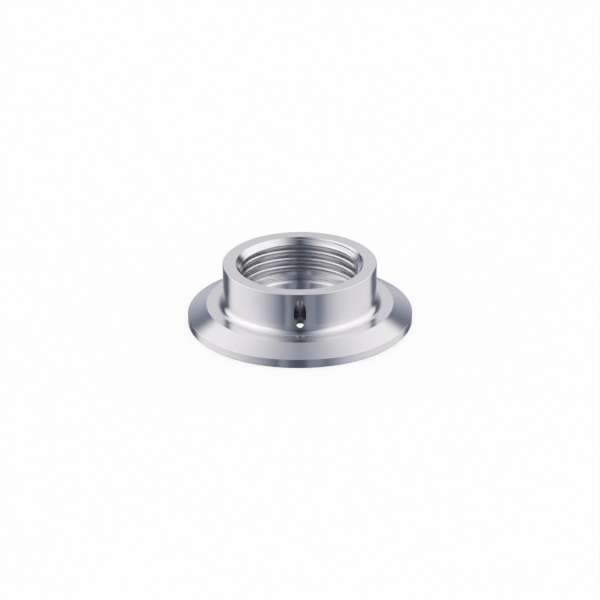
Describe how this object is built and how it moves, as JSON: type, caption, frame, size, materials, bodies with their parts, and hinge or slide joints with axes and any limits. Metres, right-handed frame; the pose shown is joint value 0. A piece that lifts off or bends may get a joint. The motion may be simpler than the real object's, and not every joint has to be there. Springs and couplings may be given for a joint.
{
  "type": "weld-in sensor adapter",
  "caption": "Round weld-in ring with a bevelled flange, a short collar with an inside pipe thread, a seal shoulder, an open bore and a slanted leak hole.",
  "frame": {"origin": "centre of the flat face that closes flush with the vessel's inside, on the axis", "axes": "+Z along the axis, from that face to the collar's mouth, where the sensor is screwed in; -Y towards the leak hole"},
  "size_m": [0.06, 0.06, 0.0165],
  "materials": {
    "turned_stainless": "fine turned, bright"
  },
  "bodies": {
    "root": {"adapter_body": "turned_stainless"}
  },
  "joints": []
}
